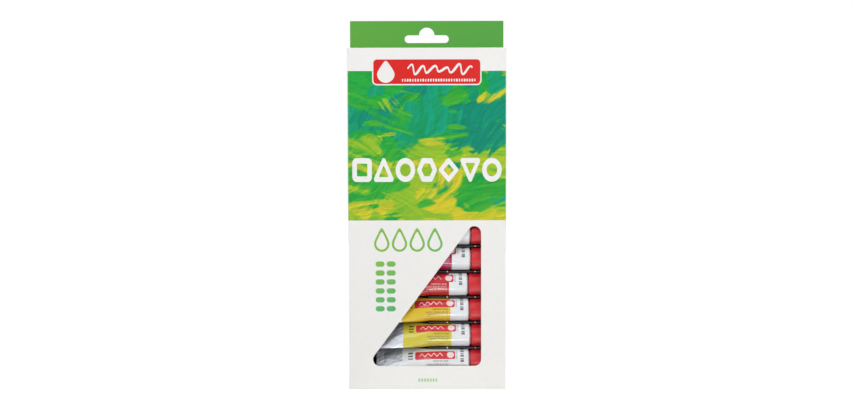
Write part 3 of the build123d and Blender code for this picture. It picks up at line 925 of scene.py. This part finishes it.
def lid_tongue(outside, inside, edge):
    """Tuck tongue below the lid's rear edge, its free corners rounded."""
    half = HALF_WIDTH - BOARD - 1.0
    obj = block("tuck_tongue", (-half, -BOARD, -TONGUE_LENGTH), (half, 0, -0.06))
    low = (0.1 - TONGUE_LENGTH) / 1000
    rounded(obj, lambda e: max(v.co.z for v in e.verts) < low and e.calc_length() < 0.001, 4.0, 8)
    for vertex in obj.data.vertices:
        _, y, z = vertex.co
        vertex.co.y = LID_REAR / 1000 + y * math.cos(TONGUE_LEAN) + z * math.sin(TONGUE_LEAN)
        vertex.co.z = LID_UNDERSIDE / 1000 + z * math.cos(TONGUE_LEAN) - y * math.sin(TONGUE_LEAN)
        vertex.co.z = min(vertex.co.z, (LID_UNDERSIDE - 0.05) / 1000)
    paint_with(obj, outside, inside, edge)
    for face in obj.data.polygons:
        face.material_index = 0 if face.normal.y > 0.9 else 1 if face.normal.y < -0.9 else 2
    smooth(obj)
    return obj


# -------- tubes and caps

def tail_size(share):
    """Half width and half thickness of the tube's section, from round at 0 to flat at 1, its girth kept."""
    thick = TUBE_RADIUS + (0.3 - TUBE_RADIUS) * share
    gain = math.pi / 2 - 1
    wide = TUBE_RADIUS * (math.pi / 2 - gain * (thick / TUBE_RADIUS) ** (1 / gain))
    return wide, thick


def ring_angles(wide, thick, count):
    """Angles that divide an ellipse into even lengths of arc, from the end of its wide axis."""
    fine = np.linspace(0, 2 * math.pi, 721)
    step = np.hypot(wide * np.sin(fine), thick * np.cos(fine))
    run = np.concatenate([[0], np.cumsum((step[1:] + step[:-1]) / 2)])
    return np.interp(np.linspace(0, run[-1], count + 1), run, fine)


def tube_axis(number, x=0.0):
    """Point on a tube's axis, moved back as far as the tube has slipped."""
    return mm(x - SLIPS[number - 1], TUBE_Y, TUBE_TOP_Z - TUBE_PITCH * (number - 1))


def foil_push(x, phi, phase):
    """How far the foil's creases and dents push its skin out, at a place along and round the tube."""
    squeeze = unit((ROUND_X + 14 - x) / 14) * unit((x - FOLD_END_X) / 8)
    crease = math.sin(3 * phi + phase[0] + 0.12 * x) * math.sin(0.21 * x + phase[1])
    crease += 0.6 * math.sin(5 * phi + phase[2] - 0.2 * x) * math.sin(0.13 * x + phase[3])
    dent = math.sin(2 * phi + phase[4]) * math.sin(0.11 * x + phase[5])
    return 0.16 * squeeze * crease + 0.07 * dent * unit((28 - x) / 6)


def tube_form(name, number, stations, around, inset=0.0):
    """Skin drawn along a tube's line: round at the shoulder, flattened to a leaning tail, with the soft
    creases that the foil takes near the fold. A station is a place along the tube and its radius, or
    None where the tube's own section holds, less the inset. Gives the piece and its vertices' charts."""
    obj, grid = strip(name, len(stations) - 1, around)
    phase = np.random.default_rng(900 + number).uniform(0, 2 * math.pi, 6)
    wide_axis = Vector((0, math.sin(TAIL_TURN), math.cos(TAIL_TURN)))
    thin_axis = Vector((0, -math.cos(TAIL_TURN), math.sin(TAIL_TURN)))
    # The tails sit a little forward and high; the lower ones are pushed up by the pocket's end
    tail_shift = mm(0, -0.5, 0.62 + 0.08 * (number - 1))
    rings = []
    for x, fixed in stations:
        share = unit((ROUND_X - x) / (ROUND_X - FOLD_END_X))
        wide = thick = fixed
        if x < FOLD_END_X:
            wide = TUBE_RADIUS * math.pi / 2
        elif fixed is None:
            wide, thick = (size - inset for size in tail_size(share))
        centre = tube_axis(number, x) + tail_shift * share ** 2 * (3 - 2 * share)
        rings.append((x, wide, thick, fixed is None, centre, ring_angles(wide, max(thick, 0.01), around)))
    chart = []
    for vertex, (station, step) in grid:
        x, wide, thick, free, centre, angles = rings[station]
        phi = angles[step]
        if free:
            push = foil_push(x, phi, phase) * min(1, thick / 2)
            wide, thick = wide + push / 2, thick + push
        vertex.co = centre + (wide_axis * wide * math.cos(phi) + thin_axis * thick * math.sin(phi)) / 1000
        chart.append((x / 100, step / around))
    return obj, chart


def even_stations(start, end, steps):
    """Stations evenly spread over a stretch where the tube's own section holds."""
    return [(start + (end - start) * i / steps, None) for i in range(steps + 1)]


def tube_shell(number, lacquer):
    """Filled aluminium tube with its folded tail, its shoulder and its neck."""
    fold = ((0, 0.0), (0.06, 0.36), (0.4, 0.46), (1.5, 0.46), (1.7, 0.43), (1.9, 0.46), (4.6, 0.46),
            (4.98, 0.36))
    stations = [(TAIL_X + run, half) for run, half in fold]
    stations += even_stations(FOLD_END_X + 0.05, ROUND_X + 0.05, 34)
    stations += even_stations(ROUND_X + 1, ROUND_X + 25, 12)
    stations += [(29.5, None), (29.85, 8.0), (30.1, 7.9), (SHOULDER_X, 7.6), (31.6, 5.9), (33.0, 4.25),
                 (33.2, 4.2), (41.5, 4.2), (41.55, 0.0)]
    obj, chart = tube_form(f"gouache_tube_{number:02d}", number, stations, 80)
    layer = obj.data.uv_layers[0]
    layer.name = "round"
    # The wide axis lies a quarter turn and the tail's lean above the front; each tube lies as it rolled
    start = 0.25 + TAIL_TURN / (2 * math.pi) - LABEL_LIFTS[number - 1] / GIRTH
    for loop in obj.data.loops:
        x, turn = chart[loop.vertex_index]
        layer.data[loop.index].uv = (x, start - turn)
    outward(obj)
    smooth(obj, 50)
    paint_with(obj, lacquer)
    return obj


def paste_fill(number, paste):
    """Paint inside a tube, a wall's thickness in from its skin and up into the nozzle."""
    tail, nozzle = FOLD_END_X + 2.0, 2.4
    stations = [(tail, 0.0), *even_stations(tail + 0.05, ROUND_X + 0.05, 20)]
    stations += even_stations(ROUND_X + 2, ROUND_X + 26, 6)
    stations += [(29.6, None), (32.7, nozzle), (41.3, nozzle), (41.35, 0.0)]
    obj, _ = tube_form(f"gouache_paste_{number:02d}", number, stations, 40, 0.3)
    obj.data.uv_layers.remove(obj.data.uv_layers[0])
    outward(obj)
    smooth(obj, 50)
    paint_with(obj, paste)
    return obj


def screw_cap(number, plastic):
    """Moulded screw cap with fine flutes, a soft outer edge and a dished end."""
    length = CAP_END_X - CAP_X
    middle = tube_axis(number, (CAP_X + CAP_END_X) / 2)
    obj = rod(f"screw_cap_{number:02d}", middle * 1000, CAP_RADIUS, length, ALONG_X, 144)
    edit(obj)
    pick(obj, "FACE", lambda f: f.normal.x > 0.9)
    for thickness, depth in ((0.0016, 0), (0.0005, -0.0004), (0.0050, 0)):
        bpy.ops.mesh.inset(thickness=thickness, depth=depth)
    pick(obj, "FACE", lambda f: f.normal.x < -0.9)
    for thickness, depth in ((0.0015, 0), (0.00177, -0.00155)):
        bpy.ops.mesh.inset(thickness=thickness, depth=depth)
    bpy.ops.mesh.extrude_region_move(TRANSFORM_OT_translate={"value": (0.0085, 0, 0)})

    def off_axis(point):
        return math.hypot(point.y - middle.y, point.z - middle.z)

    for side, radius, segments in ((1, 0.6, 4), (-1, 0.3, 2)):
        x = middle.x + side * length / 2000
        rounded(obj, lambda e: all(abs(v.co.x - x) < 1e-6 and off_axis(v.co) > 0.0077 for v in e.verts),
                radius, segments)
    for vertex in obj.data.vertices:
        out = Vector((0, vertex.co.y - middle.y, vertex.co.z - middle.z))
        if out.length > 0.0068:
            flute = 0.5 - 0.5 * math.cos(24 * math.atan2(out.z, out.y))
            vertex.co -= out.normalized() * 0.00003 * flute
    smooth(obj, 35)
    paint_with(obj, plastic)
    return obj


# -------- the scene

def seen_by(tree, *kinds):
    """1 for rays of the kinds named, and 0 for the rest."""
    seen = 0.0
    for kind in kinds:
        seen = add(tree, "Math", (add(tree, "LightPath", out=f"Is {kind} Ray"), seen), operation="MAXIMUM")
    return seen


def sweep():
    """White floor that the object stands on, matt and without an end."""
    clear()
    bpy.ops.mesh.primitive_plane_add(size=6, location=(0, 0, -0.00002))
    floor = named("floor")
    material, tree, where = new_material("white_acrylic_sweep")
    tone = coats(tree, "#E9E9E9", (clouds(tree, where, 60.0, 1.0), "#EDEDED"))
    diffuse = add(tree, "BsdfDiffuse", {"Color": tone, "Roughness": 0.5})
    glow = add(tree, "Math", (seen_by(tree, "Camera", "Glossy", "Transmission"), 0.75), operation="MULTIPLY")
    both = add(tree, "AddShader", (diffuse, add(tree, "Emission", {"Strength": glow})))
    feed(tree, tree.nodes["Material Output"].inputs["Surface"], both)
    tree.nodes.remove(tree.nodes["Principled BSDF"])
    paint_with(floor, material)
    floor.visible_shadow = False


def studio():
    """White surroundings, soft lamps and the camera."""
    world = bpy.data.worlds.new("studio")
    bpy.context.scene.world = world
    world.use_nodes = True
    tree = world.node_tree
    background = tree.nodes["Background"]
    glossy = add(tree, "MapRange", (seen_by(tree, "Glossy"), 0, 1, 0.30, 0.5))
    strength = add(tree, "Math", (seen_by(tree, "Camera", "Transmission"), glossy), operation="MAXIMUM")
    feed(tree, background.inputs["Color"], "#FFFFFF")
    feed(tree, background.inputs["Strength"], strength)

    # Lamps: place, size, power and the height that they point at
    for name, place, size, power, aim in (
            ("key_left", (-0.75, -0.85, 0.75), (0.7, 0.9), 6.45, 0.13),
            ("key_right", (0.85, -0.80, 0.55), (0.6, 0.9), 6.15, 0.13),
            ("top", (0, -0.15, 1.2), (0.9, 0.6), 2.8, 0.13),
            ("back", (0.25, 1.1, 0.6), (0.8, 0.9), 6.5, 0.13),
            ("strip", (0, -0.045, 0.002), (0.10, 0.0015), 0.009, 0.06)):
        clear()
        bpy.ops.object.light_add(type="AREA", location=place)
        lamp = bpy.context.object
        lamp.name = name
        lamp.data.shape = "RECTANGLE"
        lamp.data.size, lamp.data.size_y = size
        lamp.data.energy = power
        lamp.rotation_euler = (Vector((0, 0, aim)) - Vector(place)).to_track_quat("-Z", "Y").to_euler()
        lamp.visible_camera = False
        lamp.visible_diffuse = name != "strip"

    # Glancing light from low in front, seen only as the thin bright line along each glossy tube
    clear()
    bpy.ops.object.light_add(type="SUN", rotation=(math.radians(135), 0, 0))
    glance = bpy.context.object
    glance.name = "glancing_line"
    glance.data.energy = 0.16
    glance.data.angle = math.radians(4)
    glance.visible_camera = glance.visible_diffuse = False

    clear()
    bpy.ops.object.camera_add(location=(0, -0.710, 0.16036),
                              rotation=(math.radians(90 - 2.3), math.radians(0.12), 0))
    camera = bpy.context.object
    camera.data.sensor_width = 36
    camera.data.lens = 986 / 854 * camera.data.sensor_width
    camera.data.clip_start = 0.01
    bpy.context.scene.camera = camera
    bpy.context.scene.view_settings.view_transform = "Standard"


def carton():
    """The folded blank, its lid and their print, and the flaps' finish."""
    board = coated_board()
    for name in ("carton_seam_flap", "bottom_outer_flap", "bottom_inner_flap", "bottom_dust_flap_left",
                 "bottom_dust_flap_right", "dust_flap_left", "dust_flap_right"):
        paint_with(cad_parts[name], board)
    faces = (board, raw_board(), cut_board())
    hand_over(carton_sleeve(*faces), "carton", "printed_board", "carton_front_panel", "carton_back_panel",
              "carton_left_side", "carton_right_side")
    hand_over(lid_panel(*faces), "lid", "printed_board", "lid")
    hand_over(lid_tongue(*faces), "lid_tongue", "printed_board", "lid_tongue")

    picture, picture_ink = painted_picture(), printed_paint()
    white = flat_ink("unprinted_board_white", "#F0EFED", "#ECEBE9", low=0.14, high=0.24)
    red = flat_ink("red_litho_ink", "#D62421", "#D92A27", (1, 0, 0), -0.04, 0.04)
    fresh = flat_ink("green_litho_blend", "#3FAE7C", "#86BC46", (-0.6, 0, 1), 0.054, 0.120)
    pale = flat_ink("pale_green_litho_ink", "#9BCB8C", "#A9D29A", (1, 0, 0), -0.01, 0.01)
    grey = flat_ink("grey_litho_ink", "#7C7F84", "#85888C", low=0.06)
    swatch_inks = [flat_ink("litho_ink_" + name, code, code) for name, code in PAINTS]
    prints = [picture_front(picture, picture_ink)]
    prints += [picture_side(side, picture, picture_ink) for side in (-1, 1)]
    prints += [title_row(white), *name_plate(white, red), droplets(fresh), tube_count_marks(fresh),
               foot_marks(pale), *back_print(swatch_inks, grey, fresh)]
    prints += [side_dots(side, swatch_inks) for side in (-1, 1)]
    for piece in prints:
        hand_over(piece, "carton", "printed_board")


def tubes():
    """The tray's finish, and the twelve tubes with their paint and caps."""
    paint_with(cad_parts["tray"], formed_tray())
    plastic = moulded_cap()
    for number, (name, code) in enumerate(PAINTS, start=1):
        two = f"{number:02d}"
        hand_over(tube_shell(number, printed_tube(name, code)), "carton", "tube_aluminium", "tube_" + two)
        hand_over(paste_fill(number, gouache(name, code)), "carton", "gouache_" + name, "paint_" + two)
        hand_over(screw_cap(number, plastic), "cap_" + two, "cap_red", "cap_" + two)


carton()
tubes()
sweep()
studio()
clear()
